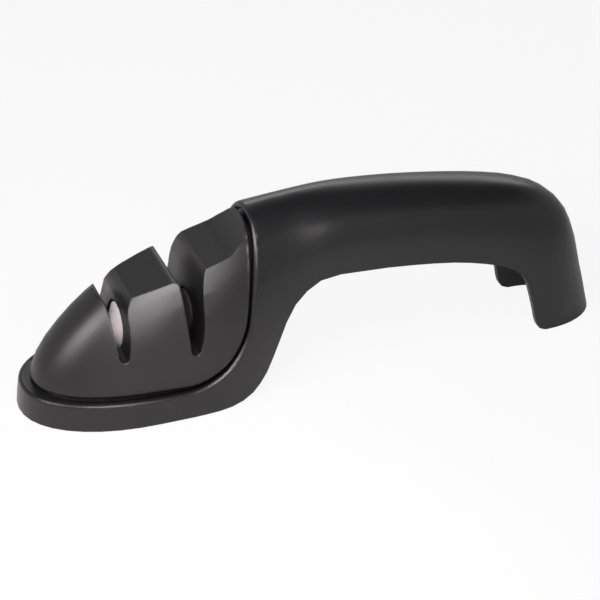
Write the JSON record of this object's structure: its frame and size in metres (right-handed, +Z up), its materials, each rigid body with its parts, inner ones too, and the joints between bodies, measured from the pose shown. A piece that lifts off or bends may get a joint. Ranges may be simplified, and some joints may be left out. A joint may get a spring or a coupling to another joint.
{
  "type": "knife sharpener",
  "caption": "Pull-through knife sharpener with an arched handle, a slotted nose cover and paired bevelled wheels on cross axles for fine and coarse sharpening.",
  "frame": {"origin": "middle of the footprint's bounding box, on the table", "axes": "+X along the body from the nose to the tail leg, +Y across it, +Z up"},
  "size_m": [0.2, 0.05, 0.0602],
  "materials": {
    "shell_abs": "satin moulded",
    "cover_abs": "semi-gloss moulded",
    "inner_plastic": "matte moulded",
    "pad_rubber": "matte",
    "fine_ceramic": "fine ground",
    "coarse_diamond": "abrasive coated",
    "steel": "turned",
    "bush_brass": "turned"
  },
  "bodies": {
    "housing": {"handle_shell": "shell_abs", "nose_cover": "cover_abs", "handle_liner": "inner_plastic", "base_plate": "inner_plastic", "base_pad": "pad_rubber", "fine_carrier": "inner_plastic", "fine_bush_front": "bush_brass", "fine_bush_rear": "bush_brass", "fine_carrier_screw_1": "steel", "fine_carrier_screw_2": "steel", "coarse_carrier": "inner_plastic", "coarse_bush_front": "bush_brass", "coarse_bush_rear": "bush_brass", "coarse_carrier_screw_1": "steel", "coarse_carrier_screw_2": "steel", "cover_screw_1": "steel", "cover_screw_2": "steel", "cover_screw_3": "steel", "liner_screw_1": "steel", "liner_screw_2": "steel"},
    "fine_wheels": {"fine_axle": "steel", "fine_spacer": "inner_plastic", "fine_wheel_front": "fine_ceramic", "fine_washer_front": "steel", "fine_wheel_rear": "fine_ceramic", "fine_washer_rear": "steel"},
    "coarse_wheels": {"coarse_axle": "steel", "coarse_spacer": "inner_plastic", "coarse_wheel_front": "coarse_diamond", "coarse_washer_front": "steel", "coarse_wheel_rear": "coarse_diamond", "coarse_washer_rear": "steel"}
  },
  "joints": [
    {"name": "fine_wheels_spin", "type": "hinge", "parent": "housing", "child": "fine_wheels", "pos_m": [-0.0692, 0, 0.0226], "axis": [1, 0, 0], "continuous": true},
    {"name": "coarse_wheels_spin", "type": "hinge", "parent": "housing", "child": "coarse_wheels", "pos_m": [-0.0468, 0, 0.0226], "axis": [1, 0, 0], "continuous": true}
  ]
}
